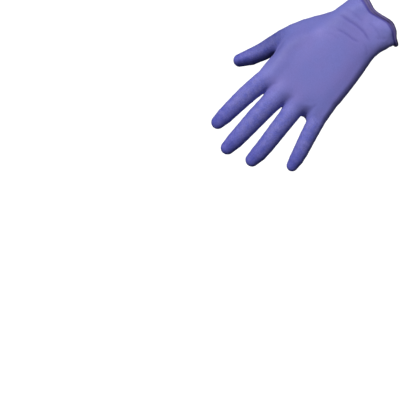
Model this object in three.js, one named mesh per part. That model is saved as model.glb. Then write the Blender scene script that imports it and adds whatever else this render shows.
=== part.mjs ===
// A thin disposable exam glove, dipped in one piece, in its worn form: its back up,
// its fingers spread, and its cuff open, with a rolled bead round the mouth. It is one
// membrane, so it is one solid: an outer skin, an inner skin one wall inside it, and
// the bead that joins the two round the mouth.
//
// Frame: millimetres. Origin at the centre of the cuff's mouth, +Y to the tip of the
// middle finger, +Z out of the glove's back, +X to the thumb. It is a left glove.
//
// The form is a field, negative inside the glove: a row of sections from the mouth
// to the knuckles, joined smoothly to five chains of tapered bones. A coarse cage of
// quads is subdivided and drawn on to the field, so that its rings follow the fingers.

import * as THREE from "three";

// ---- driving dimensions ----------------------------------------------------------
const WALL = 1.0; // the film's stand-in wall: the real film is about 0.1
const BEAD_R = 1.5; // radius of the rolled bead
const BEAD_STEPS = 7; // facets round the bead's section
const LEVELS = 2; // times the cage is subdivided
const BLEND_FINGERS = 4.0; // fillet where two fingers meet
const BLEND_CHAIN = 0.5; // fillet where two bones of one finger meet
const BLEND_ROOTS = 7.5; // fillet where the fingers meet the palm
const BLEND_THUMB = 5.5; // fillet where the thumb meets the palm
const BLEND_PADS = 12.0; // fillet where the palm's pads meet it
const BONES = 8; // bones along a finger, on a smooth curve through its joints
const WEB_SLOPE = 0.6; // how much sooner the fingers part on the back than on the palm
const RIM_FADE = 15.0; // how far up the cuff the waves of its rim reach
const EDGE_RAISE = 0.52; // height of the cage's side corners, as a share of the section

// The glove's body, from beyond the mouth to the knuckles: x of its two edges, z of
// its back and palm, and how square its section is (2 is an ellipse).
const SECTIONS = [
  { y: -14, ulnar: -37.6, radial: 38.6, back: 20.6, palm: -20.6, square: 2.0 },
  { y: 2, ulnar: -36.0, radial: 37.6, back: 19.8, palm: -19.8, square: 2.05 },
  { y: 14, ulnar: -33.4, radial: 38.8, back: 18.6, palm: -18.9, square: 2.15 },
  { y: 26, ulnar: -30.8, radial: 40.2, back: 17.6, palm: -18.6, square: 2.25 },
  { y: 40, ulnar: -31.3, radial: 41.0, back: 16.6, palm: -18.8, square: 2.3 },
  { y: 58, ulnar: -35.5, radial: 41.0, back: 15.8, palm: -17.6, square: 2.35 },
  { y: 78, ulnar: -39.6, radial: 43.0, back: 15.3, palm: -14.6, square: 2.4 },
  { y: 100, ulnar: -42.6, radial: 45.6, back: 15.0, palm: -12.6, square: 2.5 },
  { y: 122, ulnar: -44.8, radial: 45.8, back: 14.2, palm: -12.4, square: 2.6 },
  { y: 140, ulnar: -45.6, radial: 45.4, back: 12.6, palm: -12.2, square: 2.6 },
  { y: 160, ulnar: -47.0, radial: 45.0, back: 10.4, palm: -11.0, square: 2.5 },
];

// Where the palm ends and the fingers part: y of the web at each x.
const WEB = [
  { x: -60, y: 120 },
  { x: -46, y: 131 },
  { x: -36, y: 139.5 },
  { x: -27, y: 141.5 },
  { x: -12, y: 149 },
  { x: 1, y: 152.5 },
  { x: 14, y: 156.5 },
  { x: 27, y: 155 },
  { x: 40, y: 146 },
  { x: 60, y: 136 },
];

// The fingers: joints from root to tip, each with its radius across. flat is the
// finger's depth over its width.
const FINGERS = [
  {
    name: "index",
    flat: 0.93,
    joints: [
      { x: 33.0, y: 128, z: 0.5, r: 11.6 },
      { x: 33.9, y: 171, z: 2.5, r: 10.8 },
      { x: 32.8, y: 199, z: 0.6, r: 9.8 },
      { x: 32.3, y: 209, z: -1.2, r: 9.3 },
      { x: 32.0, y: 218.3, z: -3.4, r: 7.8 },
    ],
  },
  {
    name: "middle",
    flat: 0.93,
    joints: [
      { x: 10.4, y: 132, z: 1.2, r: 12.0 },
      { x: 7.4, y: 177, z: 3.6, r: 11.4 },
      { x: 4.1, y: 208, z: 1.4, r: 10.1 },
      { x: 3.2, y: 219.5, z: -0.8, r: 9.4 },
      { x: 2.6, y: 229.3, z: -3.2, r: 7.9 },
    ],
  },
  {
    name: "ring",
    flat: 0.93,
    joints: [
      { x: -11.6, y: 128, z: 0.8, r: 11.5 },
      { x: -19.6, y: 171, z: 2.8, r: 10.5 },
      { x: -24.8, y: 198, z: 0.4, r: 9.7 },
      { x: -26.0, y: 207.5, z: -1.4, r: 9.3 },
      { x: -26.6, y: 217.2, z: -3.8, r: 7.8 },
    ],
  },
  {
    name: "little",
    flat: 0.94,
    joints: [
      { x: -35.4, y: 116, z: -0.6, r: 10.6 },
      { x: -48.6, y: 151, z: 0.6, r: 9.5 },
      { x: -56.9, y: 171.2, z: -1.4, r: 8.7 },
      { x: -59.6, y: 178.8, z: -2.8, r: 8.1 },
      { x: -62.0, y: 186.7, z: -4.6, r: 6.7 },
    ],
  },
];
const THUMB = {
  name: "thumb",
  flat: 1.08,
  joints: [
    { x: 33.0, y: 46, z: -6.5, r: 12.2 },
    { x: 44.2, y: 70, z: -12.0, r: 13.2 },
    { x: 52.6, y: 92, z: -16.8, r: 12.4 },
    { x: 61.5, y: 130, z: -23.0, r: 9.9 },
    { x: 65.0, y: 139.5, z: -24.0, r: 9.4 },
    { x: 70.2, y: 150.9, z: -24.8, r: 7.4 },
  ],
};

// The palm's pads and the web of the thumb, as tapered bones of their own.
const PADS = [
  {
    name: "thenar",
    flat: 1.0,
    joints: [
      { x: 24, y: 52, z: -8.0, r: 12.6 },
      { x: 42, y: 88, z: -11.4, r: 13.2 },
    ],
  },
  {
    name: "hypothenar",
    flat: 1.0,
    joints: [
      { x: -15, y: 50, z: -6.6, r: 13.0 },
      { x: -28, y: 100, z: -5.0, r: 12.2 },
    ],
  },
  {
    name: "web_fold",
    flat: 0.9,
    joints: [
      { x: 36, y: 105, z: -8.0, r: 8.2 },
      { x: 52, y: 97, z: -18.5, r: 8.2 },
    ],
  },
  {
    name: "index_side",
    flat: 1.1,
    joints: [
      { x: 36.4, y: 116, z: 2.8, r: 8.6 },
      { x: 42.2, y: 101, z: 2.6, r: 8.5 },
      { x: 38.4, y: 80, z: 0.8, r: 8.8 },
    ],
  },
];

// The rim of the mouth, by degrees round it from the thumb's side over the back: how
// far along the cuff the film ends there, and how far it stands out.
const RIM = [
  { at: 0, y: 0.4, swell: 0.2 },
  { at: 30, y: -0.9, swell: -0.5 },
  { at: 52, y: -0.3, swell: 0.4 },
  { at: 74, y: 2.7, swell: -0.9 },
  { at: 90, y: 0.7, swell: -0.2 },
  { at: 108, y: -3.0, swell: 0.9 },
  { at: 124, y: -1.6, swell: 0.5 },
  { at: 146, y: 3.4, swell: -0.6 },
  { at: 172, y: 5.6, swell: 0.5 },
  { at: 200, y: 7.0, swell: -0.2 },
  { at: 232, y: 4.2, swell: 0.6 },
  { at: 262, y: 2.0, swell: -0.6 },
  { at: 292, y: 3.6, swell: 0.5 },
  { at: 328, y: 3.2, swell: -0.4 },
];

// ---- small helpers ----------------------------------------------------------------
const clamp = (v, lo, hi) => Math.min(hi, Math.max(lo, v));
const smoothMin = (a, b, k) => {
  const h = Math.max(k - Math.abs(a - b), 0) / k;
  return Math.min(a, b) - h * h * k * 0.25;
};
const smoothMax = (a, b, k) => -smoothMin(-a, -b, k);

// A column of a table at t, along its key column, by a cubic through the rows.
function along(rows, key, column, t, period = 0) {
  const n = rows.length;
  const row = (i) => {
    if (!period) return { k: rows[clamp(i, 0, n - 1)][key], v: rows[clamp(i, 0, n - 1)][column] };
    const j = ((i % n) + n) % n;
    return { k: rows[j][key] + period * Math.floor(i / n), v: rows[j][column] };
  };
  if (!period) t = clamp(t, rows[0][key], rows[n - 1][key]);
  let i = period ? -1 : 0;
  while (i < (period ? n : n - 2) && t > row(i + 1).k) i++;
  const [p, a, b, q] = [row(i - 1), row(i), row(i + 1), row(i + 2)];
  const w = b.k - a.k;
  const s = (t - a.k) / w;
  const ma = b.k === p.k ? 0 : ((b.v - p.v) / (b.k - p.k)) * w;
  const mb = q.k === a.k ? 0 : ((q.v - a.v) / (q.k - a.k)) * w;
  return (
    a.v * (2 * s ** 3 - 3 * s ** 2 + 1) +
    ma * (s ** 3 - 2 * s ** 2 + s) +
    b.v * (3 * s ** 2 - 2 * s ** 3) +
    mb * (s ** 3 - s ** 2)
  );
}
// A chain's joints, set closer along a smooth curve through the ones given.
function smoothed(joints, bones) {
  let at = 0;
  const rows = joints.map((q, i) => {
    const back = joints[i - 1];
    if (back) at += Math.hypot(q.x - back.x, q.y - back.y, q.z - back.z);
    return { ...q, at };
  });
  return Array.from({ length: bones + 1 }, (_, i) => {
    const t = (at * i) / bones;
    return {
      x: along(rows, "at", "x", t),
      y: along(rows, "at", "y", t),
      z: along(rows, "at", "z", t),
      r: along(rows, "at", "r", t),
    };
  });
}
const section = (column, y) => along(SECTIONS, "y", column, y);
const rim = (column, degrees) => along(RIM, "at", column, degrees, 360);
const degreesAt = (x, z, y) => {
  const cx = (section("ulnar", y) + section("radial", y)) / 2;
  const a = (section("radial", y) - section("ulnar", y)) / 2;
  const b = (section("back", y) - section("palm", y)) / 2;
  return ((Math.atan2(z / b, (x - cx) / a) * 180) / Math.PI + 360) % 360;
};

// ---- the field ----------------------------------------------------------------------
// A cone with round ends between two joints, its depth scaled by flat.
function boneField(p, a, b, flat) {
  const [bx, by, bz] = [b.x - a.x, b.y - a.y, (b.z - a.z) / flat];
  const [px, py, pz] = [p.x - a.x, p.y - a.y, (p.z - a.z) / flat];
  const l2 = bx * bx + by * by + bz * bz;
  const rr = a.r - b.r;
  const a2 = l2 - rr * rr;
  const il2 = 1 / l2;
  const y = px * bx + py * by + pz * bz;
  const z = y - l2;
  const [qx, qy, qz] = [px * l2 - bx * y, py * l2 - by * y, pz * l2 - bz * y];
  const x2 = qx * qx + qy * qy + qz * qz;
  const y2 = y * y * l2;
  const z2 = z * z * l2;
  const k = Math.sign(rr) * rr * rr * x2;
  if (Math.sign(z) * a2 * z2 > k) return Math.sqrt(x2 + z2) * il2 - b.r;
  if (Math.sign(y) * a2 * y2 < k) return Math.sqrt(x2 + y2) * il2 - a.r;
  return (Math.sqrt(x2 * a2 * il2) + y * rr) * il2 - a.r;
}
const CHAINS = new Map(
  [...FINGERS, THUMB, ...PADS].map((c) => [c, smoothed(c.joints, c.joints.length > 3 ? BONES : 4)]),
);
function chainField(p, finger) {
  const joints = CHAINS.get(finger);
  let f = Infinity;
  for (let i = 0; i + 1 < joints.length; i++) {
    const g = boneField(p, joints[i], joints[i + 1], finger.flat);
    f = f === Infinity ? g : smoothMin(f, g, BLEND_CHAIN);
  }
  return f;
}
function bodyField(p) {
  const ulnar = section("ulnar", p.y);
  const radial = section("radial", p.y);
  const n = section("square", p.y);
  const deg = degreesAt(p.x, p.z, p.y);
  const fade = Math.exp(-Math.max(p.y, 0) / RIM_FADE) * clamp(1.4 - p.y / 50, 0, 1);
  const swell = rim("swell", deg) * fade;
  const a = (radial - ulnar) / 2 + swell;
  const b = (p.z > 0 ? section("back", p.y) : -section("palm", p.y)) + swell;
  const u = Math.abs(p.x - (radial + ulnar) / 2) / a;
  const w = Math.abs(p.z) / b;
  const g = Math.max((u ** n + w ** n) ** (1 / n), 1e-3);
  const slope = g ** (1 - n) * Math.hypot(u ** (n - 1) / a, w ** (n - 1) / b);
  const wall = (g - 1) / Math.max(slope, 1e-3);
  const past = p.y - along(WEB, "x", "y", p.x) + WEB_SLOPE * clamp(p.z + 8, -4, 20);
  return smoothMax(wall, past, 10);
}
function field(p) {
  let fingers = Infinity;
  for (const f of p.y > 88 ? FINGERS : []) {
    const g = chainField(p, f);
    fingers = fingers === Infinity ? g : smoothMin(fingers, g, BLEND_FINGERS);
  }
  let palm = bodyField(p);
  for (const pad of PADS) palm = smoothMin(palm, chainField(p, pad), BLEND_PADS);
  palm = smoothMin(palm, chainField(p, THUMB), BLEND_THUMB);
  return fingers === Infinity ? palm : smoothMin(fingers, palm, BLEND_ROOTS);
}
const H = 0.02;
function slopeAt(p, here = field(p)) {
  const g = new THREE.Vector3();
  const q = p.clone();
  for (const k of ["x", "y", "z"]) {
    q[k] = p[k] + H;
    g[k] = (field(q) - here) / H;
    q[k] = p[k];
  }
  return g;
}
// Draws a point on to the surface; a rim point keeps its own y.
function drawOn(p, onRim, steps = 3) {
  for (let i = 0; i < steps; i++) {
    const f = field(p);
    const g = slopeAt(p, f);
    if (onRim) g.y = 0;
    p.addScaledVector(g, -clamp(f / Math.max(g.lengthSq(), 0.05), -4, 4));
  }
}

// ---- the cage -------------------------------------------------------------------------
// Rows across the body. The edge columns place its corner on the thumb's side.
const ROWS = [
  { y: -2, edgeX: 37.8, edgeY: -2, edgeTop: 10, edgeBottom: -10 },
  { y: 14, edgeX: 38.6, edgeY: 14, edgeTop: 9, edgeBottom: -10 },
  { y: 34, edgeX: 40.5, edgeY: 34, edgeTop: 8, edgeBottom: -12 },
  { y: 56, edgeX: 45.5, edgeY: 54, edgeTop: 5, edgeBottom: -18 },
  { y: 90, edgeX: 50.5, edgeY: 112, edgeTop: -4, edgeBottom: -18 },
  { y: 118, edgeX: 46.5, edgeY: 124, edgeTop: 7, edgeBottom: -8 },
];
const COLUMNS = [0, 0.25, 0.5, 0.75, 1]; // from the thumb's side to the little finger's
// The corners that the fingers grow from; the upper ones are sooner along the glove.
const ROOTS = [
  { x: 45.5, y: 143, sooner: 0, top: 6, bottom: -6 },
  { x: 21.8, y: 157, sooner: 6, top: 8, bottom: -8 },
  { x: -3.8, y: 153.5, sooner: 6, top: 8, bottom: -8 },
  { x: -30.6, y: 143, sooner: 8, top: 6, bottom: -8 },
  { x: -47.0, y: 123, sooner: 0, top: 6, bottom: -6 },
];
const FINGER_STATIONS = [0.3, 0.54, 0.78, 1]; // rings along a finger, by share of its bones
const THUMB_ROW = 3; // the thumb grows from the side between this row and the next
const THUMB_STATIONS = [0.57, 0.72, 0.86, 1];
const CAP_PUSH = 0.72; // the last ring's way past the last joint, as a share of its radius
const CAP_SIDE = 0.86; // its half side, as a share of the radius
const SIDE = 1.07; // the other rings' half side
const RELAX = [14, 6]; // passes that even the mesh out, at each subdivision
const TIP_STILL = 8; // nearer a fingertip than this, the mesh isn't evened out
const WEB_STILL = 5; // nor nearer the middle of a web than this

function buildCage() {
  const verts = [];
  const faces = [];
  const add = (x, y, z) => verts.push(new THREE.Vector3(x, y, z)) - 1;
  const top = [];
  const bottom = [];
  const layer = (x, y, raise) => [
    add(x, y, section("back", y) * raise),
    add(x, y, section("palm", y) * raise),
  ];
  for (const row of ROWS) {
    const pairs = COLUMNS.map((share, i) =>
      i === 0
        ? [add(row.edgeX, row.edgeY, row.edgeTop), add(row.edgeX, row.edgeY, row.edgeBottom)]
        : layer(
            THREE.MathUtils.lerp(section("radial", row.y), section("ulnar", row.y), share),
            row.y,
            i === 4 ? EDGE_RAISE : 1,
          ),
    );
    top.push(pairs.map((q) => q[0]));
    bottom.push(pairs.map((q) => q[1]));
  }
  top.push(ROOTS.map((r) => add(r.x, r.y - r.sooner, r.top)));
  bottom.push(ROOTS.map((r) => add(r.x, r.y, r.bottom)));
  for (let j = 0; j + 1 < top.length; j++) {
    for (let i = 0; i < 4; i++) {
      faces.push([top[j][i], top[j + 1][i], top[j + 1][i + 1], top[j][i + 1]]);
      faces.push([bottom[j][i + 1], bottom[j + 1][i + 1], bottom[j + 1][i], bottom[j][i]]);
    }
    if (j !== THUMB_ROW) faces.push([top[j + 1][0], top[j][0], bottom[j][0], bottom[j + 1][0]]);
    faces.push([top[j][4], top[j + 1][4], bottom[j + 1][4], bottom[j][4]]);
  }
  const last = top.length - 1;
  const tube = (root, finger, stations) => {
    // root: the four corners it grows from, top first, going round against the finger
    const path = finger.joints.map((q) => new THREE.Vector3(q.x, q.y, q.z));
    const lengths = path.slice(1).map((q, i) => q.distanceTo(path[i]));
    const total = lengths.reduce((s, v) => s + v, 0);
    let ring = root;
    stations.forEach((share, n) => {
      let d = share * total;
      let i = 0;
      while (i < lengths.length - 1 && d > lengths[i]) d -= lengths[i++];
      const s = d / lengths[i];
      const c = path[i].clone().lerp(path[i + 1], s);
      const r =
        THREE.MathUtils.lerp(finger.joints[i].r, finger.joints[i + 1].r, s) *
        (n === stations.length - 1 ? CAP_SIDE : SIDE);
      const dir = path[i + 1].clone().sub(path[i]).normalize();
      const side = new THREE.Vector3(dir.y, -dir.x, 0).normalize(); // towards the thumb
      const up = side.clone().cross(dir);
      if (n === stations.length - 1) c.addScaledVector(dir, (r * CAP_PUSH) / CAP_SIDE);
      const corner = (a, b) => {
        const q = c
          .clone()
          .addScaledVector(side, a * r)
          .addScaledVector(up, b * r * finger.flat);
        return add(q.x, q.y, q.z);
      };
      const next = [corner(1, 1), corner(-1, 1), corner(-1, -1), corner(1, -1)];
      for (let k = 0; k < 4; k++) {
        const m = (k + 1) % 4;
        faces.push([ring[k], next[k], next[m], ring[m]]);
      }
      ring = next;
    });
    faces.push([ring[0], ring[3], ring[2], ring[1]]);
  };
  FINGERS.forEach((f, i) =>
    tube([top[last][i], top[last][i + 1], bottom[last][i + 1], bottom[last][i]], f, FINGER_STATIONS),
  );
  const j = THUMB_ROW;
  tube([top[j][0], top[j + 1][0], bottom[j + 1][0], bottom[j][0]], THUMB, THUMB_STATIONS);
  return { verts, faces };
}

// One step of Catmull-Clark, with a crease along the open rim.
function subdivide({ verts, faces }) {
  const edges = new Map();
  const key = (a, b) => (a < b ? `${a}_${b}` : `${b}_${a}`);
  const out = verts.map((v) => v.clone());
  const centres = faces.map((f) => {
    const c = new THREE.Vector3();
    f.forEach((i) => c.add(verts[i]));
    return out.push(c.divideScalar(f.length)) - 1;
  });
  faces.forEach((f, n) =>
    f.forEach((a, i) => {
      const b = f[(i + 1) % f.length];
      const k = key(a, b);
      if (!edges.has(k)) edges.set(k, { a, b, faces: [] });
      edges.get(k).faces.push(n);
    }),
  );
  const around = verts.map(() => ({ edges: [], faces: new Set(), rim: [] }));
  for (const e of edges.values()) {
    const m = verts[e.a].clone().add(verts[e.b]);
    if (e.faces.length === 2)
      m.add(out[centres[e.faces[0]]]).add(out[centres[e.faces[1]]]).divideScalar(4);
    else m.divideScalar(2);
    e.point = out.push(m) - 1;
    for (const v of [e.a, e.b]) {
      around[v].edges.push(e);
      e.faces.forEach((n) => around[v].faces.add(n));
      if (e.faces.length === 1) around[v].rim.push(e.a === v ? e.b : e.a);
    }
  }
  verts.forEach((v, i) => {
    const r = around[i];
    if (r.rim.length === 2) {
      out[i] = v.clone().multiplyScalar(0.75);
      r.rim.forEach((n) => out[i].addScaledVector(verts[n], 0.125));
      return;
    }
    const n = r.edges.length;
    const f = new THREE.Vector3();
    r.faces.forEach((k) => f.add(out[centres[k]]));
    f.divideScalar(r.faces.size);
    const m = new THREE.Vector3();
    r.edges.forEach((e) => m.add(verts[e.a].clone().add(verts[e.b]).multiplyScalar(0.5)));
    m.divideScalar(n);
    out[i] = f.add(m.multiplyScalar(2)).addScaledVector(v, n - 3).divideScalar(n);
  });
  const made = [];
  faces.forEach((f, n) =>
    f.forEach((v, i) => {
      const before = edges.get(key(f[(i + f.length - 1) % f.length], v)).point;
      const after = edges.get(key(v, f[(i + 1) % f.length])).point;
      made.push([v, after, centres[n], before]);
    }),
  );
  return { verts: out, faces: made };
}

// The open rim's vertices in order round it.
function rimLoop(faces) {
  const half = new Map();
  faces.forEach((f) =>
    f.forEach((a, i) => {
      const b = f[(i + 1) % f.length];
      if (half.has(`${b}_${a}`)) half.delete(`${b}_${a}`);
      else half.set(`${a}_${b}`, [a, b]);
    }),
  );
  const next = new Map([...half.values()]);
  const start = next.keys().next().value;
  const loop = [start];
  for (let v = next.get(start); v !== start; v = next.get(v)) loop.push(v);
  return loop;
}

const TIPS = [...FINGERS, THUMB].map((finger) => {
  const [a, b] = finger.joints.slice(-2).map((q) => new THREE.Vector3(q.x, q.y, q.z));
  return b.clone().addScaledVector(b.clone().sub(a).normalize(), finger.joints.at(-1).r);
});

const WEBS = ROOTS.slice(1, -1).map(
  (r) => new THREE.Vector3(r.x, r.y - r.sooner / 2, (r.top + r.bottom) / 2),
);

function outerSkin() {
  let mesh = buildCage();
  let loop = [];
  for (let level = 0; level < LEVELS; level++) {
    mesh = subdivide(mesh);
    const { verts, faces } = mesh;
    loop = rimLoop(faces);
    const onRim = new Set(loop);
    const near = verts.map(() => new Set());
    faces.forEach((f) =>
      f.forEach((a, i) => {
        const b = f[(i + 1) % f.length];
        near[a].add(b);
        near[b].add(a);
      }),
    );
    const pinned = new Map();
    for (const tip of TIPS) {
      const gap = verts.map((v) => v.distanceTo(tip));
      pinned.set(gap.indexOf(Math.min(...gap)), tip);
    }
    const seat = (v, i, steps) => {
      if (onRim.has(i)) v.y = rim("y", degreesAt(v.x, v.z, 2));
      if (pinned.has(i)) v.copy(pinned.get(i));
      drawOn(v, onRim.has(i), steps);
    };
    verts.forEach((v, i) => seat(v, i, 8));
    for (let pass = RELAX[level]; pass > 0; pass--) {
      const moved = verts.map((v, i) => {
        const ring = onRim.has(i) ? [...near[i]].filter((k) => onRim.has(k)) : [...near[i]];
        const c = new THREE.Vector3();
        ring.forEach((k) => c.add(verts[k]));
        c.divideScalar(ring.length).sub(v);
        const n = slopeAt(v).normalize();
        c.addScaledVector(n, -c.dot(n));
        const free = Math.min(
          ...TIPS.map((tip) => v.distanceTo(tip) / TIP_STILL - 1),
          ...WEBS.map((web) => v.distanceTo(web) / WEB_STILL - 1),
        );
        return v.clone().addScaledVector(c, 0.5 * clamp(free, 0, 1));
      });
      moved.forEach((v, i) => {
        seat(v, i, pass > 1 ? 2 : 6);
        verts[i].copy(v);
      });
    }
  }
  return { ...mesh, loop };
}

// ---- the membrane: both skins and the bead ------------------------------------------------
function membrane() {
  const { verts, faces, loop } = outerSkin();
  const normals = verts.map((v) => slopeAt(v).normalize());
  const points = [...verts];
  const quads = [...faces];
  const inner = verts.map((v, i) => points.push(v.clone().addScaledVector(normals[i], -WALL)) - 1);
  faces.forEach((f) => quads.push([...f].reverse().map((i) => inner[i])));
  // The bead is a roll that stands out of the film and is flush with its inside.
  const reach = Math.sqrt(2 * BEAD_R * WALL - WALL * WALL);
  const start = Math.atan2(-reach, WALL - BEAD_R);
  const rings = [loop];
  for (let s = 1; s <= BEAD_STEPS; s++) {
    const t = start + ((Math.PI - start) * s) / BEAD_STEPS;
    rings.push(
      loop.map((i) => {
        const n = normals[i];
        const down = new THREE.Vector3(0, -1, 0).addScaledVector(n, n.y).normalize();
        return (
          points.push(
            verts[i]
              .clone()
              .addScaledVector(n, BEAD_R - WALL + BEAD_R * Math.cos(t))
              .addScaledVector(down, reach + BEAD_R * Math.sin(t)),
          ) - 1
        );
      }),
    );
  }
  rings.push(loop.map((i) => inner[i]));
  for (let s = 0; s + 1 < rings.length; s++)
    for (let k = 0; k < loop.length; k++) {
      const m = (k + 1) % loop.length;
      quads.push([rings[s][m], rings[s][k], rings[s + 1][k], rings[s + 1][m]]);
    }
  const index = [];
  for (const q of quads) {
    // the shorter diagonal, so that the facets follow the form
    const d02 = points[q[0]].distanceTo(points[q[2]]);
    const d13 = points[q[1]].distanceTo(points[q[3]]);
    if (d02 <= d13) index.push(q[0], q[1], q[2], q[0], q[2], q[3]);
    else index.push(q[0], q[1], q[3], q[1], q[2], q[3]);
  }
  const geometry = new THREE.BufferGeometry();
  geometry.setAttribute(
    "position",
    new THREE.Float32BufferAttribute(points.flatMap((v) => [v.x, v.y, v.z]), 3),
  );
  geometry.setIndex(index);
  geometry.computeVertexNormals();
  return geometry;
}

const violetNitrile = new THREE.MeshStandardMaterial({
  color: new THREE.Color(0.29, 0.28, 0.56),
  roughness: 0.55,
  metalness: 0.0,
});

const glove = new THREE.Mesh(membrane(), violetNitrile);
glove.name = "glove_membrane";
const group = new THREE.Group();
group.name = "nitrile_exam_glove";
group.add(glove);

export default group;
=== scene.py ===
"""The looks of the exam glove: one thin dipped film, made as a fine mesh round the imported
frame. The film's form is a field (sections of the body joined smoothly to chains of
tapered bones). A coarse cage is subdivided on to it, then creased and folded, given a
wall and closed with a rolled bead round the mouth. Lengths are millimetres until the
mesh is made."""

import math

import bpy
import numpy as np
from mathutils import Matrix, Vector


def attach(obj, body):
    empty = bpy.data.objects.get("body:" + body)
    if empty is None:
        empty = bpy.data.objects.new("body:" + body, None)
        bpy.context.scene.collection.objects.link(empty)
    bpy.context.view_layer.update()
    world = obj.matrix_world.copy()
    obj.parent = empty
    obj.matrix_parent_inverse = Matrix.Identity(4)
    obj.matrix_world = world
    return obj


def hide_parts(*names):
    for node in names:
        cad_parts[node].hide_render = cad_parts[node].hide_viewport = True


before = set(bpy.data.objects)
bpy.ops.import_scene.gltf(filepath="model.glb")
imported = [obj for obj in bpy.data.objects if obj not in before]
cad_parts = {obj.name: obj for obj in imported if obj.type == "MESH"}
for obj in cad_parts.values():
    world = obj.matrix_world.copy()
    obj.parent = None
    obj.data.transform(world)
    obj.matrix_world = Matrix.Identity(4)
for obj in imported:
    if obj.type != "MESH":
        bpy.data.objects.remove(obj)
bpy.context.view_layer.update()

MM = 0.001
WALL = 0.45  # the film's wall as drawn
LEVELS = 4
BLEND_FINGERS, BLEND_CHAIN, BLEND_ROOTS, BLEND_THUMB, BLEND_PADS = 4.0, 0.5, 7.5, 5.5, 12.0
BONES = 8
WEB_SLOPE = 0.6
RIM_FADE = 15.0
EDGE_RAISE = 0.52

# y, ulnar x, radial x, back z, palm z, squareness (a little more than the frame's, as the
# stretched film is flatter across the back)
SECTIONS = np.array([
    (-14, -37.6, 38.6, 20.6, -20.6, 2.15),
    (2, -36.0, 37.6, 19.8, -19.8, 2.3),
    (14, -33.4, 38.8, 18.6, -18.9, 2.55),
    (26, -30.8, 40.2, 17.6, -18.6, 2.7),
    (40, -31.3, 41.0, 16.6, -18.8, 2.75),
    (58, -35.5, 41.0, 15.8, -17.6, 2.75),
    (78, -39.6, 43.0, 15.3, -14.6, 2.9),
    (100, -42.6, 45.6, 15.0, -12.6, 3.0),
    (122, -44.8, 45.8, 14.2, -12.4, 3.0),
    (140, -45.6, 45.4, 12.6, -12.2, 2.9),
    (160, -47.0, 45.0, 10.4, -11.0, 2.6),
], float)
# x, y of the web there
WEB = np.array([
    (-60, 120), (-46, 131), (-36, 139.5), (-27, 141.5), (-12, 149), (1, 152.5), (14, 156.5), (27, 155), (40, 146), (60, 136),
], float)
# flat, joints of x, y, z, r
FINGERS = {
    "index": (0.93, [(33.0, 128, 0.5, 11.6), (33.9, 171, 2.5, 10.8), (32.8, 199, 0.6, 9.8), (32.3, 209, -1.2, 9.3), (32.0, 218.3, -3.4, 7.8)]),
    "middle": (0.93, [(10.4, 132, 1.2, 12.0), (7.4, 177, 3.6, 11.4), (4.1, 208, 1.4, 10.1), (3.2, 219.5, -0.8, 9.4), (2.6, 229.3, -3.2, 7.9)]),
    "ring": (0.93, [(-11.6, 128, 0.8, 11.5), (-19.6, 171, 2.8, 10.5), (-24.8, 198, 0.4, 9.7), (-26.0, 207.5, -1.4, 9.3), (-26.6, 217.2, -3.8, 7.8)]),
    "little": (0.94, [(-35.4, 116, -0.6, 10.6), (-48.6, 151, 0.6, 9.5), (-56.9, 171.2, -1.4, 8.7), (-59.6, 178.8, -2.8, 8.1), (-62.0, 186.7, -4.6, 6.7)]),
}
THUMB = (1.08, [(33.0, 46, -6.5, 12.2), (44.2, 70, -12.0, 13.2), (52.6, 92, -16.8, 12.4), (61.5, 130, -23.0, 9.9), (65.0, 139.5, -24.0, 9.4), (70.2, 150.9, -24.8, 7.4)])
PADS = [
    (1.0, [(24, 52, -8.0, 12.6), (42, 88, -11.4, 13.2)]),
    (1.0, [(-15, 50, -6.6, 13.0), (-28, 100, -5.0, 12.2)]),
    (0.9, [(36, 105, -8.0, 8.2), (52, 97, -18.5, 8.2)]),
    (1.1, [(36.4, 116, 0.8, 8.6), (42.2, 101, 0.2, 8.5), (38.4, 80, -2.0, 8.8)]),
]
# degrees round the mouth, y of the rim, how far it stands out
RIM = np.array([
    (0, 0.4, 0.2), (30, -0.9, -0.5), (52, -0.3, 0.4), (74, 2.7, -0.9), (90, 0.7, -0.2), (108, -3.0, 0.9), (124, -1.6, 0.5),
    (146, 3.4, -0.6), (172, 5.6, 0.5), (200, 7.0, -0.2), (232, 4.2, 0.6), (262, 2.0, -0.6), (292, 3.6, 0.5), (328, 3.2, -0.4),
], float)


# ---- curves through tables ------------------------------------------------------------
def through(keys, values, t, period=0.0):
    keys, values = np.asarray(keys, float), np.asarray(values, float)
    if period:
        keys = np.r_[keys[-2:] - period, keys, keys[:3] + period]
        values = np.r_[values[-2:], values, values[:3]]
        t = np.mod(t, period)
    else:
        t = np.clip(t, keys[0], keys[-1])
    n = len(keys)
    lo, hi = np.clip(np.arange(n) - 1, 0, n - 1), np.clip(np.arange(n) + 1, 0, n - 1)
    m = (values[hi] - values[lo]) / (keys[hi] - keys[lo])
    i = np.clip(np.searchsorted(keys, t, side="right") - 1, 0, n - 2)
    w = keys[i + 1] - keys[i]
    s = (t - keys[i]) / w
    return (
        values[i] * (2 * s**3 - 3 * s**2 + 1)
        + m[i] * w * (s**3 - 2 * s**2 + s)
        + values[i + 1] * (3 * s**2 - 2 * s**3)
        + m[i + 1] * w * (s**3 - s**2)
    )


def smoothed(joints, bones):
    """A chain's joints, set closer along a smooth curve through the ones given."""
    q = np.array(joints, float)
    at = np.r_[0, np.cumsum(np.linalg.norm(np.diff(q[:, :3], axis=0), axis=1))]
    t = np.linspace(0, at[-1], bones + 1)
    return np.stack([through(at, q[:, k], t) for k in range(4)], 1)


def section(column, y):
    return through(SECTIONS[:, 0], SECTIONS[:, column], y)


def rim(column, degrees):
    return through(RIM[:, 0], RIM[:, column], degrees, 360.0)


def degrees_at(x, z, y):
    cx = (section(1, y) + section(2, y)) / 2
    a = (section(2, y) - section(1, y)) / 2
    b = (section(3, y) - section(4, y)) / 2
    return np.mod(np.degrees(np.arctan2(z / b, (x - cx) / a)), 360.0)


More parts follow.
